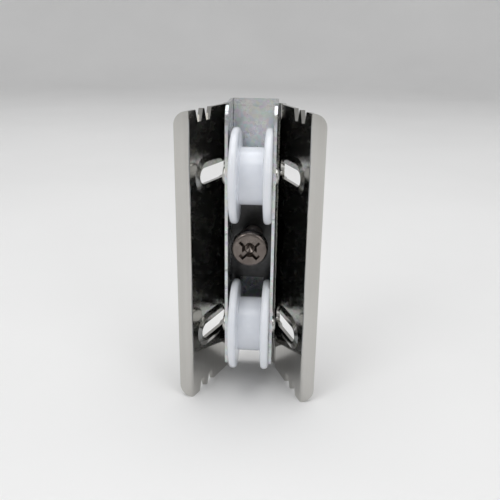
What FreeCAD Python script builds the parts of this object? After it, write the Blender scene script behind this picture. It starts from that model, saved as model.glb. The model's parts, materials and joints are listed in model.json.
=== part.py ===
"""Sliding door roller: a flared housing, an adjustable carriage and two ball-bearing wheels.

Frame: +Z up along the housing, X across it, +Y from the open wheel side towards the flat web.
The origin is under the middle of the whole part, level with the housing's lower end.
"Depth" below means the distance behind the crests, where the two wings are widest apart.
"""

import FreeCAD, Part
import math
import os

import Sketcher

Vector = FreeCAD.Vector

os.makedirs("parts", exist_ok=True)
doc = FreeCAD.newDocument("sliding_door_roller")

SIZES = {
    # housing, one folded sheet
    "housing_length": 76.4,
    "housing_sheet": 1.0,
    "wing_half": 18.0,
    "crest_half": 14.5,
    "flange_back": 0.8,
    "flange_round": 3.4,
    "foot_half": 7.2,
    "foot_depth": 18.0,
    "web_depth": 21.0,
    "bend_inner": 1.2,
    "crest_bend": 0.9,
    "web_cut_half": 6.0,
    "web_cut_length": 4.5,
    "web_cut_round": 2.0,
    "notch_first": 5.1,
    "notch_pitch": 3.9,
    "notch_mouth": 3.3,
    "notch_floor": 1.5,
    "notch_reach": 3.0,
    "slot_half": 2.05,
    "slot_front": 6.2,
    "slot_back": 17.6,
    "slot_low": 17.3,
    "slot_high": 59.9,
    "bump_front": 8.0,
    "bump_back": 13.8,
    "bump_half": 4.7,
    "bump_height": 0.5,
    "bump_slope": 70.0,
    # carriage, a U channel
    "carriage_half": 6.3,
    "carriage_sheet": 0.75,
    "carriage_front": 4.8,
    "carriage_back": 20.8,
    "carriage_low": 7.8,
    "carriage_high": 77.6,
    "carriage_bend": 1.0,
    "carriage_top_round": 5.0,
    "carriage_foot_round": 1.2,
    # wheels
    "wheel_low": 19.3,
    "wheel_high": 59.9,
    "wheel_depth": 7.4,
    "wheel_shift": 0.35,
    "wheel_radius": 12.0,
    "wheel_half": 5.15,
    "groove_radius": 7.2,
    "groove_half": 2.87,
    "groove_flare": 0.35,
    "rim_round": 0.85,
    "lip_radius": 4.7,
    # bearings
    "axle_radius": 2.0,
    "race_half": 2.0,
    "race_radius": 5.5,
    "inner_shoulder": 3.0,
    "outer_shoulder": 4.5,
    "ball_pitch": 3.75,
    "ball_radius": 1.0,
    "ball_play": 0.03,
    "cage_half": 1.35,
    "cage_inner": 3.5,
    "cage_outer": 4.0,
    "shield_inner_face": 1.6,
    "shield_outer_face": 1.8,
    "shield_bore": 3.05,
    "spacer_radius": 3.0,
    "fit_play": 0.04,
    "axle_end_radius": 1.5,
    "rivet_radius": 2.2,
    "rivet_height": 0.7,
    # adjusting screw and what holds it
    "screw_level": 41.2,
    "head_front": 4.9,
    "head_thick": 2.6,
    "head_radius": 4.7,
    "head_round": 1.1,
    "thread_radius": 2.95,
    "thread_start": 9.4,
    "thread_pitch": 1.0,
    "thread_cut": 0.5,
    "shoulder_depth": 20.36,
    "journal_radius": 1.8,
    "peen_flare": 0.6,
    "washer_front": 20.4,
    "washer_thick": 0.56,
    "washer_radius": 3.4,
    "recess_reach": 3.2,
    "recess_width": 0.75,
    "recess_heart": 1.5,
    "recess_arm_floor": 1.3,
    "recess_taper": 14.0,
    "core_radius": 1.95,
    "core_shoulder": 1.6,
    "core_neck": 1.25,
    "core_tip": 2.4,
    "web_hole": 3.6,
    "plate_front": 17.0,
    "plate_back": 19.4,
    "plate_low": 27.8,
    "plate_high": 51.8,
    "plate_ear_low": 37.0,
    "plate_ear_high": 45.4,
    "plate_notch_half": 3.2,
    "plate_notch_reach": 1.2,
    # place of the whole part
    "middle_depth": 8.7,
}
BALLS = 7

sheet = doc.addObject("Spreadsheet::Sheet", "Sizes")
for row, (word, number) in enumerate(SIZES.items(), start=1):
    sheet.set(f"A{row}", word)
    sheet.set(f"B{row}", str(number))
    sheet.setAlias(f"B{row}", word)
doc.recompute()


def size(word):
    return float(sheet.get(word))


def bound(formula):
    """A formula over size names, with each name pointed at its cell."""
    words = []
    word = ""
    for letter in formula + " ":
        if letter.isalpha() or letter == "_":
            word += letter
            continue
        words.append(f"Sizes.{word}" if word in SIZES else word)
        words.append(letter)
        word = ""
    return "".join(words).strip()


# ---------------------------------------------------------------- helpers

finished = []


def new_body(label):
    body = doc.addObject("PartDesign::Body", label)
    body.Label = label
    finished.append(body)
    return body


def origin_plane(body, role):
    return next(item for item in body.Origin.OriginFeatures if item.Role == role)


def new_sketch(body, role, name):
    sketch = body.newObject("Sketcher::SketchObject", name)
    sketch.AttachmentSupport = [(origin_plane(body, role), "")]
    sketch.MapMode = "FlatFace"
    return sketch


def bind_last(sketch, formula):
    sketch.setExpression(f"Constraints[{sketch.ConstraintCount - 1}]", bound(formula))


def pin_point(sketch, line, end, across, up):
    """Fix one end of a line at two formulas measured from the sketch's origin."""
    for kind, formula, axis in (("DistanceX", across, -2), ("DistanceY", up, -1)):
        if formula == "0":
            sketch.addConstraint(Sketcher.Constraint("PointOnObject", line, end, axis))
            continue
        sketch.addConstraint(Sketcher.Constraint(kind, -1, 1, line, end, 1.0))
        bind_last(sketch, formula)


def outline(sketch, corners):
    """A closed outline through corners, each a pair of formulas."""
    first = sketch.GeometryCount
    count = len(corners)
    ring = [
        Vector(10 * math.cos(2 * math.pi * step / count), 10 * math.sin(2 * math.pi * step / count), 0)
        for step in range(count)
    ]
    for step in range(count):
        sketch.addGeometry(Part.LineSegment(ring[step], ring[(step + 1) % count]), False)
    for step in range(count):
        following = first + (step + 1) % count
        sketch.addConstraint(Sketcher.Constraint("Coincident", first + step, 2, following, 1))
    for step, (across, up) in enumerate(corners):
        pin_point(sketch, first + step, 1, across, up)


def circle(sketch, across, up, radius):
    ring = sketch.addGeometry(Part.Circle(Vector(5, 5, 0), Vector(0, 0, 1), 1.0), False)
    sketch.addConstraint(Sketcher.Constraint("Radius", ring, 1.0))
    bind_last(sketch, radius)
    pin_point(sketch, ring, 3, across, up)


def stadium(sketch, near, far, level, radius):
    """A slot outline along the sketch's first axis, with round ends about near and far."""
    low, high, turn = Vector(0, -1, 0), Vector(8, -1, 0), math.pi / 2
    left = sketch.addGeometry(
        Part.ArcOfCircle(Part.Circle(Vector(0, 0, 0), Vector(0, 0, 1), 1), turn, 3 * turn), False
    )
    bottom = sketch.addGeometry(Part.LineSegment(low, high), False)
    right = sketch.addGeometry(
        Part.ArcOfCircle(Part.Circle(Vector(8, 0, 0), Vector(0, 0, 1), 1), -turn, turn), False
    )
    top = sketch.addGeometry(Part.LineSegment(Vector(8, 1, 0), Vector(0, 1, 0)), False)
    for one, one_end, other, other_end in (
        (left, 2, bottom, 1),
        (bottom, 2, right, 1),
        (right, 2, top, 1),
        (top, 2, left, 1),
    ):
        sketch.addConstraint(Sketcher.Constraint("Tangent", one, one_end, other, other_end))
    sketch.addConstraint(Sketcher.Constraint("Radius", left, 1.0))
    bind_last(sketch, radius)
    pin_point(sketch, left, 3, near, level)
    sketch.addConstraint(Sketcher.Constraint("DistanceX", -1, 1, right, 3, 8.0))
    bind_last(sketch, far)
    for side in (bottom, top):
        sketch.addConstraint(Sketcher.Constraint("Horizontal", side))


def pad(body, sketch, name, length):
    feature = body.newObject("PartDesign::Pad", name)
    feature.Profile = sketch
    feature.setExpression("Length", bound(length))
    return feature


def pocket_through(body, sketch, name):
    feature = body.newObject("PartDesign::Pocket", name)
    feature.Profile = sketch
    feature.Type = "ThroughAll"
    feature.Midplane = True
    return feature


def pocket(body, sketch, name, length, reversed_way=False):
    feature = body.newObject("PartDesign::Pocket", name)
    feature.Profile = sketch
    feature.Type = "Length"
    feature.Reversed = reversed_way
    feature.setExpression("Length", bound(length))
    return feature


def turned(label, outline_corners):
    """A body turned about its own X axis, from corners given as (along the axis, radius)."""
    body = new_body(label)
    sketch = new_sketch(body, "XY_Plane", f"{label}_section")
    outline(sketch, outline_corners)
    revolution = body.newObject("PartDesign::Revolution", f"{label}_turned")
    revolution.Profile = sketch
    revolution.ReferenceAxis = (sketch, ["H_Axis"])
    revolution.Angle = 360.0
    body.Tip = revolution
    return body


def round_edges(body, name, radius, chosen):
    """Fillet the edges of the body's tip for which chosen(edge) is true."""
    doc.recompute()
    base = body.Tip
    edges = [f"Edge{step + 1}" for step, edge in enumerate(base.Shape.Edges) if chosen(edge)]
    if not edges:
        raise RuntimeError(f"{name} finds no edge")
    feature = body.newObject("PartDesign::Fillet", name)
    feature.Base = (base, edges)
    feature.setExpression("Radius", bound(radius))
    body.Tip = feature
    doc.recompute()
    return feature


def near(one, other):
    return abs(one - other) < 0.01


def runs_along(edge, axis):
    """True for a straight edge parallel to an axis."""
    if not isinstance(edge.Curve, Part.Line):
        return False
    return edge.Curve.Direction.cross(axis).Length < 0.001


def place(piece, across, depth, level, turn=None):
    """Put a piece at a place given across, in depth behind the crests, and in height."""
    base = Vector(across, depth - size("middle_depth"), level)
    piece.Placement = FreeCAD.Placement(base, turn or FreeCAD.Rotation())


ALONG_DEPTH = FreeCAD.Rotation(Vector(0, 0, 1), 90)


# ---------------------------------------------------------------- housing


def make_housing():
    """One sheet: flange, crest, slanting wall, foot and web, the same on both sides."""
    body = new_body("housing")
    section = new_sketch(body, "XY_Plane", "housing_section")
    lean = "atan((crest_half - foot_half) / foot_depth)"
    tip = "atan(flange_back / (wing_half - crest_half))"
    stretch = f"housing_sheet / (1 + sin({lean} - {tip}))"
    back_crest = (
        f"crest_half + (cos({lean}) - sin({tip})) * {stretch}",
        f"(sin({lean}) + cos({tip})) * {stretch}",
    )
    back_foot = (
        "foot_half + housing_sheet",
        f"foot_depth + housing_sheet * tan({lean} / 2)",
    )
    right_side = [
        ("foot_half", "web_depth"),
        ("foot_half", "foot_depth"),
        ("crest_half", "0"),
        ("wing_half", "flange_back"),
        (f"wing_half - housing_sheet * sin({tip})", f"flange_back + housing_sheet * cos({tip})"),
        back_crest,
        back_foot,
        ("foot_half + housing_sheet", "web_depth + housing_sheet"),
    ]
    left_side = [(f"-({across})", depth) for across, depth in reversed(right_side)]
    outline(section, right_side + left_side)
    body.Tip = pad(body, section, "housing_sheet_metal", "housing_length")

    up = Vector(0, 0, 1)
    length = size("housing_length")
    corner = size("foot_half")
    back = size("web_depth")

    def at(edge, across, depth):
        point = edge.Vertexes[0].Point
        return runs_along(edge, up) and near(abs(point.x), across) and near(point.y, depth)

    sheet_thick = size("housing_sheet")
    round_edges(body, "web_bend_inside", "bend_inner", lambda edge: at(edge, corner, back))
    round_edges(
        body,
        "web_bend_outside",
        "bend_inner + housing_sheet",
        lambda edge: at(edge, corner + sheet_thick, back + sheet_thick),
    )
    round_edges(body, "crest_fold", "crest_bend", lambda edge: at(edge, size("crest_half"), 0))

    def flange_corner(edge):
        points = [vertex.Point for vertex in edge.Vertexes]
        level = points[0].z
        at_end = near(level, 0) or near(level, length)
        flat = near(points[0].z, points[-1].z)
        outer = all(abs(point.x) > size("wing_half") - 0.5 for point in points)
        return at_end and flat and outer and edge.Length < 2 * sheet_thick

    round_edges(body, "flange_corners", "flange_round", flange_corner)

    cuts = new_sketch(body, "XZ_Plane", "web_end_cuts")
    for low, high in (
        ("-web_cut_round", "web_cut_length"),
        ("housing_length - web_cut_length", "housing_length + web_cut_round"),
    ):
        outline(
            cuts,
            [
                ("-web_cut_half", low),
                ("web_cut_half", low),
                ("web_cut_half", high),
                ("-web_cut_half", high),
            ],
        )
    body.Tip = pocket_through(body, cuts, "web_end_openings")

    def cut_corner(edge):
        point = edge.Vertexes[0].Point
        levels = (size("web_cut_length"), length - size("web_cut_length"))
        inside = near(abs(point.x), size("web_cut_half"))
        return runs_along(edge, Vector(0, 1, 0)) and inside and any(near(point.z, z) for z in levels)

    round_edges(body, "web_cut_corners", "web_cut_round", cut_corner)

    notches = new_sketch(body, "YZ_Plane", "wing_end_notches")
    for order in range(2):
        middle = f"(notch_first + {order} * notch_pitch)"
        for edge_level, inward in (("housing_length", "-"), ("0", "+")):
            beyond = f"{edge_level} {'+' if inward == '-' else '-'} 1"
            floor = f"{edge_level} {inward} notch_reach"
            outline(
                notches,
                [
                    (f"{middle} - notch_mouth * 0.6", beyond),
                    (f"{middle} + notch_mouth * 0.6", beyond),
                    (f"{middle} + notch_floor / 2", floor),
                    (f"{middle} - notch_floor / 2", floor),
                ],
            )
    body.Tip = pocket_through(body, notches, "wing_end_teeth")

    lean_degrees = math.degrees(
        math.atan((size("crest_half") - size("foot_half")) / size("foot_depth"))
    )
    wall_turn = FreeCAD.Rotation(Vector(0, 1, 0), lean_degrees)
    outward = wall_turn.multVec(Vector(0, 0, 1))
    raised = []
    for name, inset, radius in (("bump", 0.0, "bump_half"), ("dent", sheet_thick, "bump_half - 0.5")):
        sketch = new_sketch(body, "YZ_Plane", f"{name}_outlines")
        base = Vector(0, 0, size("crest_half")) + outward * inset
        sketch.AttachmentOffset = FreeCAD.Placement(base, wall_turn)
        for level in ("slot_low", "slot_high"):
            stadium(sketch, "bump_front", "bump_back", level, radius)
        if name == "bump":
            feature = pad(body, sketch, "raised_bumps", "bump_height")
            feature.Reversed = True
        else:
            feature = pocket(body, sketch, "dents_behind_bumps", "bump_height")
        feature.setExpression("TaperAngle", bound("-bump_slope"))
        raised.append(feature)
        body.Tip = feature
        doc.recompute()
    mirrored = body.newObject("PartDesign::Mirrored", "bumps_on_other_wall")
    mirrored.Originals = raised
    mirrored.MirrorPlane = (origin_plane(body, "YZ_Plane"), [""])
    body.Tip = mirrored
    doc.recompute()

    slots = new_sketch(body, "YZ_Plane", "wall_slot_outlines")
    for level in ("slot_low", "slot_high"):
        stadium(slots, "slot_front", "slot_back", level, "slot_half")
    body.Tip = pocket_through(body, slots, "wall_slots")

    hole = new_sketch(body, "XZ_Plane", "journal_hole_outline")
    circle(hole, "0", "screw_level", "journal_radius + fit_play")
    body.Tip = pocket_through(body, hole, "journal_hole")
    doc.recompute()
    drilled = body.Tip
    bore = size("journal_radius") + size("fit_play")
    rims = [
        f"Edge{step + 1}"
        for step, edge in enumerate(drilled.Shape.Edges)
        if isinstance(edge.Curve, Part.Circle)
        and near(edge.Curve.Radius, bore)
        and near(edge.Curve.Center.y, back + sheet_thick)
    ]
    flare = body.newObject("PartDesign::Chamfer", "journal_hole_flare")
    flare.Base = (drilled, rims)
    flare.setExpression("Size", bound("peen_flare"))
    body.Tip = flare
    place(body, 0, 0, 0)


# ---------------------------------------------------------------- carriage


def make_carriage():
    """A U channel with two axle holes a side, a hole for the screw and slots for the plate's ears."""
    body = new_body("carriage")
    section = new_sketch(body, "XY_Plane", "carriage_section")
    outline(
        section,
        [
            ("-carriage_half", "carriage_front"),
            ("carriage_sheet - carriage_half", "carriage_front"),
            ("carriage_sheet - carriage_half", "carriage_back - carriage_sheet"),
            ("carriage_half - carriage_sheet", "carriage_back - carriage_sheet"),
            ("carriage_half - carriage_sheet", "carriage_front"),
            ("carriage_half", "carriage_front"),
            ("carriage_half", "carriage_back"),
            ("-carriage_half", "carriage_back"),
        ],
    )
    body.Tip = pad(body, section, "carriage_channel", "carriage_high - carriage_low")
    up = Vector(0, 0, 1)
    half = size("carriage_half")
    thick = size("carriage_sheet")
    back = size("carriage_back")

    def at(edge, across, depth):
        point = edge.Vertexes[0].Point
        return runs_along(edge, up) and near(abs(point.x), across) and near(point.y, depth)

    round_edges(
        body,
        "carriage_bend_inside",
        "carriage_bend - carriage_sheet",
        lambda edge: at(edge, half - thick, back - thick),
    )
    round_edges(body, "carriage_bend_outside", "carriage_bend", lambda edge: at(edge, half, back))

    def front_corner(edge, top):
        ends_front = all(near(vertex.Point.y, size("carriage_front")) for vertex in edge.Vertexes)
        upper = edge.Vertexes[0].Point.z > 1
        return runs_along(edge, Vector(1, 0, 0)) and ends_front and upper == top

    for name, radius, top in (
        ("carriage_top_corners", "carriage_top_round", True),
        ("carriage_foot_corners", "carriage_foot_round", False),
    ):
        round_edges(body, name, radius, lambda edge, top=top: front_corner(edge, top))

    sides = new_sketch(body, "YZ_Plane", "carriage_side_holes")
    for level in ("wheel_low - carriage_low", "wheel_high - carriage_low"):
        circle(sides, "wheel_depth", level, "axle_end_radius")
    outline(
        sides,
        [
            ("plate_front", "plate_ear_low - carriage_low"),
            ("plate_back", "plate_ear_low - carriage_low"),
            ("plate_back", "plate_ear_high - carriage_low"),
            ("plate_front", "plate_ear_high - carriage_low"),
        ],
    )
    body.Tip = pocket_through(body, sides, "carriage_side_openings")

    hole = new_sketch(body, "XZ_Plane", "carriage_screw_hole_outline")
    circle(hole, "0", "screw_level - carriage_low", "web_hole")
    body.Tip = pocket_through(body, hole, "carriage_screw_hole")
    place(body, 0, 0, size("carriage_low"))


def make_nut_plate():
    """A tapped plate across the carriage: an ear in each wall, an open notch at top and bottom."""
    body = new_body("nut_plate")
    section = new_sketch(body, "XZ_Plane", "nut_plate_outline")
    inner, notch = "(carriage_half - carriage_sheet)", "plate_notch_half"
    low, high = "(plate_low - screw_level)", "(plate_high - screw_level)"
    ear_low, ear_high = "(plate_ear_low - screw_level)", "(plate_ear_high - screw_level)"
    right_side = [
        (notch, f"{low} + plate_notch_reach"),
        (notch, low),
        (inner, low),
        (inner, ear_low),
        ("carriage_half", ear_low),
        ("carriage_half", ear_high),
        (inner, ear_high),
        (inner, high),
        (notch, high),
        (notch, f"{high} - plate_notch_reach"),
    ]
    left_side = [(f"-{across}", level) for across, level in reversed(right_side)]
    outline(section, right_side + left_side)
    feature = pad(body, section, "nut_plate_sheet", "plate_back - plate_front")
    feature.Reversed = True
    body.Tip = feature
    hole = new_sketch(body, "XZ_Plane", "nut_plate_hole_outline")
    circle(hole, "0", "0", "thread_radius + fit_play")
    body.Tip = pocket_through(body, hole, "nut_plate_hole")
    place(body, 0, size("plate_front"), size("screw_level"))


# ---------------------------------------------------------------- screw


def make_adjusting_screw():
    """Pan head, cross recess, thread shown as round grooves, journal with a peened, flared end."""
    back = "(web_depth + housing_sheet - head_front)"
    body = turned(
        "adjusting_screw",
        [
            ("0", "0"),
            ("0", "head_radius"),
            ("head_thick", "head_radius"),
            ("head_thick", "thread_radius"),
            ("shoulder_depth - head_front", "thread_radius"),
            ("shoulder_depth - head_front", "journal_radius"),
            (f"{back} - peen_flare", "journal_radius"),
            (back, "journal_radius + peen_flare"),
            (back, "0"),
        ],
    )
    round_edges(
        body,
        "head_edge",
        "head_round",
        lambda edge: isinstance(edge.Curve, Part.Circle)
        and near(edge.Curve.Radius, size("head_radius"))
        and near(edge.Curve.Center.x, 0),
    )
    thread = new_sketch(body, "XY_Plane", "thread_groove_outline")
    start = "(thread_start - head_front)"
    outline(
        thread,
        [
            (start, "thread_radius + thread_cut * 0.2"),
            (f"{start} + thread_pitch * 0.45", "thread_radius - thread_cut"),
            (f"{start} + thread_pitch * 0.9", "thread_radius + thread_cut * 0.2"),
        ],
    )
    groove = body.newObject("PartDesign::Groove", "thread_groove")
    groove.Profile = thread
    groove.ReferenceAxis = (thread, ["H_Axis"])
    groove.Angle = 360.0
    body.Tip = groove
    doc.recompute()
    pattern = body.newObject("PartDesign::LinearPattern", "thread_grooves")
    pattern.Originals = [groove]
    pattern.Direction = (thread, ["H_Axis"])
    turns = math.floor((size("shoulder_depth") - size("thread_start")) / size("thread_pitch"))
    pattern.Occurrences = turns
    pattern.setExpression("Length", bound(f"thread_pitch * {turns - 1}"))
    body.Tip = pattern
    doc.recompute()
    recess = new_sketch(body, "YZ_Plane", "cross_recess_outline")
    recess.AttachmentOffset = FreeCAD.Placement(
        Vector(0, 0, 0), FreeCAD.Rotation(Vector(0, 0, 1), 45)
    )
    arm = [
        ("recess_reach", "-recess_width"),
        ("recess_reach", "recess_width"),
        ("recess_heart", "recess_width"),
        ("recess_width", "recess_heart"),
    ]
    cross = []
    for quarter in range(4):
        for along, aside in arm:
            for _ in range(quarter):
                along, aside = f"-({aside})", along
            cross.append((along, aside))
    outline(recess, cross)
    arms = pocket(body, recess, "cross_recess", "recess_arm_floor", reversed_way=True)
    arms.setExpression("TaperAngle", bound("-recess_taper"))
    body.Tip = arms
    doc.recompute()
    core = new_sketch(body, "XY_Plane", "recess_core_outline")
    outline(
        core,
        [
            ("0", "0"),
            ("0", "core_radius"),
            ("core_shoulder", "core_neck"),
            ("core_tip", "0"),
        ],
    )
    hollow = body.newObject("PartDesign::Groove", "recess_core")
    hollow.Profile = core
    hollow.ReferenceAxis = (core, ["H_Axis"])
    hollow.Angle = 360.0
    body.Tip = hollow
    doc.recompute()
    place(body, 0, size("head_front"), size("screw_level"), ALONG_DEPTH)


def make_ring(label, near_end, far_end, bore, outside):
    """A plain ring between two ends along its axis; all four are formulas."""
    return turned(
        label,
        [(near_end, bore), (near_end, outside), (far_end, outside), (far_end, bore)],
    )


def make_thrust_washer():
    """The washer between the screw's shoulder and the housing's web."""
    bore = "journal_radius + fit_play"
    washer = make_ring("thrust_washer", "0", "washer_thick", bore, "washer_radius")
    place(washer, 0, size("washer_front"), size("screw_level"), ALONG_DEPTH)


# ---------------------------------------------------------------- wheels and bearings


def make_wheel(side):
    """White tyre: two flanges, a deep flat groove, and a bearing seat with a lip on one side."""
    wheel = turned(
        f"{side}_wheel",
        [
            ("-wheel_half", "lip_radius"),
            ("-wheel_half", "wheel_radius"),
            ("-(groove_half + groove_flare)", "wheel_radius"),
            ("-groove_half", "groove_radius"),
            ("groove_half", "groove_radius"),
            ("groove_half + groove_flare", "wheel_radius"),
            ("wheel_half", "wheel_radius"),
            ("wheel_half", "race_radius"),
            ("-race_half", "race_radius"),
            ("-race_half", "lip_radius"),
        ],
    )
    round_edges(
        wheel,
        f"{side}_wheel_rims",
        "rim_round",
        lambda edge: isinstance(edge.Curve, Part.Circle)
        and near(edge.Curve.Radius, size("wheel_radius")),
    )
    return wheel


def make_race(label, bore, outside):
    """A bearing ring: a plain ring less the round track that the balls run in."""
    rings = []
    for name, radius in (("outside", outside), ("bore", bore)):
        solid = doc.addObject("Part::Cylinder", f"{label}_{name}")
        solid.setExpression("Radius", bound(radius))
        solid.setExpression("Height", bound("2 * race_half"))
        solid.Placement = FreeCAD.Placement(
            Vector(-size("race_half"), 0, 0), FreeCAD.Rotation(Vector(0, 1, 0), 90)
        )
        rings.append(solid)
    plain = doc.addObject("Part::Cut", f"{label}_plain")
    plain.Base, plain.Tool = rings
    track = doc.addObject("Part::Torus", f"{label}_track")
    track.setExpression("Radius1", bound("ball_pitch"))
    track.setExpression("Radius2", bound("ball_radius + ball_play"))
    track.Placement = FreeCAD.Placement(Vector(), FreeCAD.Rotation(Vector(0, 1, 0), 90))
    race = doc.addObject("Part::Cut", label)
    race.Label = label
    race.Base, race.Tool = plain, track
    finished.append(race)
    return race


def ball_places():
    """The balls' places about the X axis, at the pitch radius."""
    for step in range(BALLS):
        angle = 2 * math.pi * step / BALLS
        yield Vector(0, math.sin(angle), math.cos(angle)) * size("ball_pitch")


def make_balls(side):
    spheres = []
    for step, spot in enumerate(ball_places()):
        ball = doc.addObject("Part::Sphere", f"{side}_ball_{step}")
        ball.setExpression("Radius", bound("ball_radius"))
        ball.Placement = FreeCAD.Placement(spot, FreeCAD.Rotation())
        spheres.append(ball)
    group = doc.addObject("Part::Compound", f"{side}_balls")
    group.Label = f"{side}_balls"
    group.Links = spheres
    finished.append(group)
    return group


def make_cage(side):
    """A ring with a round pocket for every ball."""
    label = f"{side}_ball_cage"
    body = make_ring(label, "-cage_half", "cage_half", "cage_inner", "cage_outer")
    hole = new_sketch(body, "XY_Plane", f"{label}_pocket_outline")
    circle(hole, "0", "0", "ball_radius + ball_play")
    first = body.newObject("PartDesign::Pocket", f"{label}_pocket")
    first.Profile = hole
    first.Type = "ThroughAll"
    first.Reversed = True
    body.Tip = first
    doc.recompute()
    pattern = body.newObject("PartDesign::PolarPattern", f"{label}_pockets")
    pattern.Originals = [first]
    pattern.Axis = (hole, ["H_Axis"])
    pattern.Angle = 360.0
    pattern.Occurrences = BALLS
    body.Tip = pattern
    return body


def make_axle(side):
    """A pin whose thinner ends pass through the carriage walls and are peened over outside."""
    outer, inner = "carriage_half", "(carriage_half - carriage_sheet)"
    right_end = [
        (inner, "axle_radius"),
        (inner, "axle_end_radius"),
        (outer, "axle_end_radius"),
        (outer, "rivet_radius"),
        (f"{outer} + rivet_height", "rivet_radius"),
        (f"{outer} + rivet_height", "0"),
    ]
    left_end = [(f"-({along})", radius) for along, radius in reversed(right_end)]
    axle = turned(f"{side}_axle", left_end + right_end)
    head = size("carriage_half") + size("rivet_height")
    round_edges(
        axle,
        f"{side}_axle_domes",
        "rivet_height * 0.8",
        lambda edge: isinstance(edge.Curve, Part.Circle) and near(abs(edge.Curve.Center.x), head),
    )
    return axle


def make_wheel_set(side, level_word):
    """Wheel, bearing, axle and spacers of one wheel; all but the axle sit off to the right."""
    inner_wall = "carriage_half - carriage_sheet - fit_play"
    place(make_axle(side), 0, size("wheel_depth"), size(level_word))
    pieces = [
        make_wheel(side),
        make_race(f"{side}_outer_race", "outer_shoulder", "race_radius"),
        make_race(f"{side}_inner_race", "axle_radius", "inner_shoulder"),
        make_cage(side),
    ]
    for hand, sign, reach in (
        ("left", "-", f"({inner_wall} + wheel_shift)"),
        ("right", "", f"({inner_wall} - wheel_shift)"),
    ):
        shield_ends = (f"{sign}shield_inner_face", f"{sign}shield_outer_face")
        spacer_ends = (f"{sign}race_half", f"{sign}{reach}")
        pieces.append(
            make_ring(f"{side}_shield_{hand}", *shield_ends, "shield_bore", "outer_shoulder")
        )
        pieces.append(make_ring(f"{side}_spacer_{hand}", *spacer_ends, "axle_radius", "spacer_radius"))
    pieces.append(make_balls(side))
    for piece in pieces:
        place(piece, size("wheel_shift"), size("wheel_depth"), size(level_word))


make_housing()
make_carriage()
make_nut_plate()
make_adjusting_screw()
make_thrust_washer()
make_wheel_set("upper", "wheel_high")
make_wheel_set("lower", "wheel_low")
doc.recompute()

# ---------------------------------------------------------------- checks and export

for item in doc.Objects:
    if "Invalid" in item.State or "Error" in item.State:
        raise RuntimeError(f"{item.Label} failed: {item.State}")
for piece in finished:
    shape = piece.Shape
    if shape.isNull() or not shape.isValid() or not shape.Solids:
        raise RuntimeError(f"{piece.Label} has no valid solid")
    shape.exportStep(f"parts/{piece.Label}.step")
    print(f"{piece.Label}: {len(shape.Solids)} solid(s), {shape.Volume:.1f} cubic mm")
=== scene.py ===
"""The looks of the sliding door roller: materials, floor, light and camera."""

import json
import math

import bpy
from mathutils import Matrix, Vector

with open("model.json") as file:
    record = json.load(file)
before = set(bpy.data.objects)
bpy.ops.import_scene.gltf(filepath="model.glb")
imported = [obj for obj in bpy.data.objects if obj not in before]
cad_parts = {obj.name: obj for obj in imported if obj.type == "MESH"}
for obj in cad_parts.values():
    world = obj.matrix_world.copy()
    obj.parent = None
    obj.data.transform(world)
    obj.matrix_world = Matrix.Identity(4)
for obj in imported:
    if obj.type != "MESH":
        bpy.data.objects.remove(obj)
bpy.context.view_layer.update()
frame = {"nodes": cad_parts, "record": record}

NODES = frame["nodes"]


# ---------------------------------------------------------------- node helpers


def new_material(name):
    """A node material with only its shader and output, returned with its tree and shader."""
    material = bpy.data.materials.new(name)
    material.use_nodes = True
    tree = material.node_tree
    tree.nodes.clear()
    shader = tree.nodes.new("ShaderNodeBsdfPrincipled")
    output = tree.nodes.new("ShaderNodeOutputMaterial")
    tree.links.new(shader.outputs["BSDF"], output.inputs["Surface"])
    return material, tree, shader


def coordinates(tree, stretch=(1, 1, 1)):
    """Object coordinates, scaled along each axis."""
    source = tree.nodes.new("ShaderNodeTexCoord")
    mapping = tree.nodes.new("ShaderNodeMapping")
    mapping.inputs["Scale"].default_value = stretch
    tree.links.new(source.outputs["Object"], mapping.inputs["Vector"])
    return mapping.outputs["Vector"]


def noise(tree, scale, detail=4.0, roughness=0.5, stretch=(1, 1, 1), distortion=0.0):
    node = tree.nodes.new("ShaderNodeTexNoise")
    node.inputs["Scale"].default_value = scale
    node.inputs["Detail"].default_value = detail
    node.inputs["Roughness"].default_value = roughness
    node.inputs["Distortion"].default_value = distortion
    tree.links.new(coordinates(tree, stretch), node.inputs["Vector"])
    return node.outputs["Fac"]


def cells(tree, scale):
    """Flat-toned crystal cells."""
    node = tree.nodes.new("ShaderNodeTexVoronoi")
    node.inputs["Scale"].default_value = scale
    tree.links.new(coordinates(tree), node.inputs["Vector"])
    return node.outputs["Color"]


def ramp(tree, value, stops):
    """A colour ramp from (position, colour) stops; a number stands for a grey."""
    node = tree.nodes.new("ShaderNodeValToRGB")
    elements = node.color_ramp.elements
    while len(elements) < len(stops):
        elements.new(0.5)
    for element, (position, colour) in zip(elements, stops):
        element.position = position
        grey = (colour, colour, colour) if isinstance(colour, (int, float)) else colour
        element.color = (*grey, 1.0)
    tree.links.new(value, node.inputs["Fac"])
    return node.outputs["Color"]


def mix(tree, factor, first, second, blend="MIX"):
    """Blend two colours; each may be a socket, a colour or a number."""
    node = tree.nodes.new("ShaderNodeMix")
    node.data_type = "RGBA"
    node.blend_type = blend
    sockets = [socket for socket in node.inputs if socket.type == "RGBA"]
    for value, socket in ((factor, node.inputs[0]), (first, sockets[0]), (second, sockets[1])):
        if isinstance(value, bpy.types.NodeSocket):
            tree.links.new(value, socket)
        elif isinstance(value, (int, float)) and socket.type == "RGBA":
            socket.default_value = (value, value, value, 1.0)
        elif isinstance(value, tuple):
            socket.default_value = (*value, 1.0)
        else:
            socket.default_value = value
    return next(socket for socket in node.outputs if socket.type == "RGBA")


def bump(tree, height, strength, distance, under=None):
    node = tree.nodes.new("ShaderNodeBump")
    node.inputs["Strength"].default_value = strength
    node.inputs["Distance"].default_value = distance
    tree.links.new(height, node.inputs["Height"])
    if under is not None:
        tree.links.new(under, node.inputs["Normal"])
    return node.outputs["Normal"]


def link(tree, socket, shader, name):
    tree.links.new(socket, shader.inputs[name])


# ---------------------------------------------------------------- materials


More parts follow.
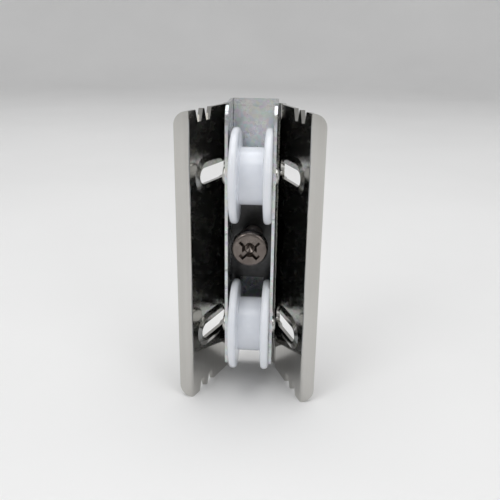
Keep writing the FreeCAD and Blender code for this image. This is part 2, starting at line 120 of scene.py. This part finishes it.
def stainless():
    """Polished stainless sheet: rolling lines along its length and faint smears."""
    material, tree, shader = new_material("stainless_sheet")
    shader.inputs["Metallic"].default_value = 1.0
    rolling = noise(tree, 900.0, 3.0, 0.6, stretch=(1.0, 1.0, 0.02))
    smear = noise(tree, 60.0, 5.0, 0.55, stretch=(1.0, 1.0, 0.6))
    steel = ramp(tree, smear, [(0.3, (0.53, 0.515, 0.48)), (0.7, (0.58, 0.57, 0.54))])
    lined = ramp(tree, rolling, [(0.3, 0.46), (0.7, 0.62)])
    link(tree, mix(tree, 0.25, steel, lined), shader, "Base Color")
    rough = ramp(tree, smear, [(0.25, 0.09), (0.75, 0.12)])
    link(tree, mix(tree, 0.2, rough, ramp(tree, rolling, [(0.3, 0.07), (0.7, 0.15)])), shader, "Roughness")
    link(tree, bump(tree, rolling, 0.05, 0.00002), shader, "Normal")
    return material


def galvanised():
    """Bright zinc-coated sheet: mottled crystals, cloudy reflections and short dark scratches."""
    material, tree, shader = new_material("galvanised_sheet")
    shader.inputs["Metallic"].default_value = 1.0
    crystals = cells(tree, 1100.0)
    cloud = noise(tree, 420.0, 6.0, 0.65)
    scratch = noise(tree, 500.0, 2.0, 0.7, stretch=(0.12, 1.0, 1.0), distortion=0.6)
    zinc = ramp(tree, cloud, [(0.3, (0.54, 0.56, 0.57)), (0.7, (0.72, 0.73, 0.73))])
    spangle = mix(tree, 0.22, zinc, crystals, "SOFT_LIGHT")
    marks = ramp(tree, scratch, [(0.62, 1.0), (0.70, 0.55)])
    link(tree, mix(tree, 1.0, spangle, marks, "MULTIPLY"), shader, "Base Color")
    link(tree, ramp(tree, cloud, [(0.25, 0.16), (0.75, 0.34)]), shader, "Roughness")
    rough_skin = bump(tree, cloud, 0.08, 0.0001)
    link(tree, bump(tree, scratch, 0.15, 0.00005, under=rough_skin), shader, "Normal")
    return material


def white_plastic():
    """Moulded acetal: milky white, faint turning lines, slight greying in patches."""
    material, tree, shader = new_material("white_acetal")
    patches = noise(tree, 120.0, 4.0, 0.55)
    white = ramp(tree, patches, [(0.3, (0.76, 0.79, 0.84)), (0.7, (0.85, 0.87, 0.92))])
    link(tree, white, shader, "Base Color")
    link(tree, ramp(tree, patches, [(0.3, 0.14), (0.7, 0.20)]), shader, "Roughness")
    shader.inputs["Subsurface Weight"].default_value = 0.25
    shader.inputs["Subsurface Radius"].default_value = (1.0, 0.95, 0.9)
    shader.inputs["Subsurface Scale"].default_value = 0.0012
    shader.inputs["IOR"].default_value = 1.48
    lines = noise(tree, 1200.0, 2.0, 0.5, stretch=(1.0, 0.05, 0.05))
    skin = bump(tree, lines, 0.08, 0.00003)
    link(tree, bump(tree, noise(tree, 400.0, 3.0), 0.05, 0.0001, under=skin), shader, "Normal")
    return material


METAL_GRAIN = 700.0


def plain_metal(name, dark, light, rough):
    """A small metal part: two-tone plating, uneven gloss and a fine grain."""
    material, tree, shader = new_material(name)
    shader.inputs["Metallic"].default_value = 1.0
    tone = noise(tree, 220.0, 4.0, 0.6)
    link(tree, ramp(tree, tone, [(0.3, dark), (0.7, light)]), shader, "Base Color")
    link(tree, ramp(tree, tone, [(0.25, rough[0]), (0.75, rough[1])]), shader, "Roughness")
    link(tree, bump(tree, noise(tree, METAL_GRAIN, 3.0, 0.6), 0.12, 0.00005), shader, "Normal")
    return material


def make_materials():
    return {
        "stainless": stainless(),
        "galvanised": galvanised(),
        "white_plastic": white_plastic(),
        "zinc": plain_metal("zinc_plate", (0.50, 0.50, 0.48), (0.68, 0.68, 0.66), (0.22, 0.36)),
        "dark_nickel": plain_metal("dark_nickel", (0.13, 0.11, 0.10), (0.24, 0.21, 0.19), (0.20, 0.34)),
        # spring_steel is near-black partly as the part's own dark finish and partly as painted shade: its
        # darkness stands in for the shadow inside the channel around the screw.
        "spring_steel": plain_metal("spring_steel", (0.05, 0.05, 0.05), (0.12, 0.12, 0.12), (0.3, 0.42)),
        "bearing_steel": plain_metal("bearing_steel", (0.55, 0.55, 0.56), (0.66, 0.66, 0.67), (0.08, 0.16)),
        "cage_brass": plain_metal("cage_brass", (0.62, 0.46, 0.20), (0.74, 0.58, 0.30), (0.22, 0.34)),
    }


def dress_cad_nodes(materials):
    """Give every CAD node the material that its slot in the record asks for."""
    for row in frame["record"]["subparts"]:
        node = NODES[row["node"]]
        for slot in node.material_slots:
            slot.material = materials[row["material_slot"]]


# ---------------------------------------------------------------- stage, light, camera

FLOOR_REACH = 0.95
SWEEP_RADIUS = 0.30
SWEEP_TOP = 1.1
FLOOR_SIDES = 96


def make_floor():
    """A pale round floor that curves up into a backdrop on every side."""
    arc = [
        (
            FLOOR_REACH + SWEEP_RADIUS * math.sin(math.radians(step)),
            SWEEP_RADIUS * (1 - math.cos(math.radians(step))),
        )
        for step in range(0, 91, 6)
    ]
    profile = [*arc, (FLOOR_REACH + SWEEP_RADIUS, SWEEP_TOP)]
    points = [
        (reach * math.cos(turn), reach * math.sin(turn), level)
        for reach, level in profile
        for turn in (2 * math.pi * step / FLOOR_SIDES for step in range(FLOOR_SIDES))
    ]
    faces = [tuple(range(FLOOR_SIDES))]
    for ring in range(len(profile) - 1):
        for step in range(FLOOR_SIDES):
            near, far = ring * FLOOR_SIDES, (ring + 1) * FLOOR_SIDES
            after = (step + 1) % FLOOR_SIDES
            faces.append((near + step, far + step, far + after, near + after))
    mesh = bpy.data.meshes.new("floor")
    mesh.from_pydata(points, [], faces)
    mesh.polygons.foreach_set("use_smooth", [True] * len(faces))
    floor = bpy.data.objects.new("floor", mesh)
    bpy.context.scene.collection.objects.link(floor)
    material, tree, shader = new_material("pale_floor")
    tone = ramp(tree, noise(tree, 6.0, 3.0), [(0.3, 0.84), (0.7, 0.88)])
    link(tree, tone, shader, "Base Color")
    shader.inputs["Roughness"].default_value = 0.9
    shader.inputs["Specular IOR Level"].default_value = 0.1
    mesh.materials.append(material)


def aim(thing, place, target):
    direction = Vector(target) - Vector(place)
    thing.matrix_world = Matrix.Translation(place) @ direction.to_track_quat("-Z", "Y").to_matrix().to_4x4()


def softbox(name, place, watts, side):
    """A plain white square light, aimed at the middle of the part."""
    lamp = bpy.data.lights.new(name, "AREA")
    lamp.shape = "SQUARE"
    lamp.size = side
    lamp.energy = watts
    holder = bpy.data.objects.new(name, lamp)
    bpy.context.scene.collection.objects.link(holder)
    holder.visible_camera = False
    aim(holder, place, PART_MIDDLE)


WORLD_STRENGTH = 0.25
PART_MIDDLE = (0.0, 0.0, 0.04)
SOFTBOXES = [
    ("top_box", (0.0, 0.0, 0.90), 6.5, 1.0),
    ("key_box", (-0.35, -0.45, 0.50), 0.8, 0.3),
    ("fill_box", (0.40, -0.40, 0.40), 0.4, 0.3),
]


def make_light():
    """A plain grey room, a large box overhead, a key box at the left and a weaker fill."""
    world = bpy.data.worlds.new("plain_studio")
    world.use_nodes = True
    background = world.node_tree.nodes["Background"]
    background.inputs["Color"].default_value = (0.8, 0.8, 0.8, 1.0)
    background.inputs["Strength"].default_value = WORLD_STRENGTH
    bpy.context.scene.world = world
    for name, place, watts, side in SOFTBOXES:
        softbox(name, place, watts, side)


CAMERA_PLACE = (0.01000, -0.15501, 0.09451)
CAMERA_PITCH = 19.38
CAMERA_YAW = 3.72
CAMERA_ROLL = 0.75
CAMERA_LENS = 45.2


def make_camera():
    """A close camera a little above and to the right, looking down at the open side."""
    data = bpy.data.cameras.new("camera")
    data.lens = CAMERA_LENS
    data.sensor_width = 36.0
    data.clip_start = 0.005
    data.clip_end = 20.0
    camera = bpy.data.objects.new("camera", data)
    bpy.context.scene.collection.objects.link(camera)
    upright = Matrix.Rotation(math.radians(90 - CAMERA_PITCH), 4, "X")
    yawed = Matrix.Rotation(math.radians(CAMERA_YAW), 4, "Z") @ upright
    rolled = yawed @ Matrix.Rotation(math.radians(CAMERA_ROLL), 4, "Z")
    camera.matrix_world = Matrix.Translation(CAMERA_PLACE) @ rolled
    bpy.context.scene.camera = camera


make_camera()
make_light()
make_floor()
dress_cad_nodes(make_materials())
bpy.context.scene.view_settings.view_transform = "Standard"
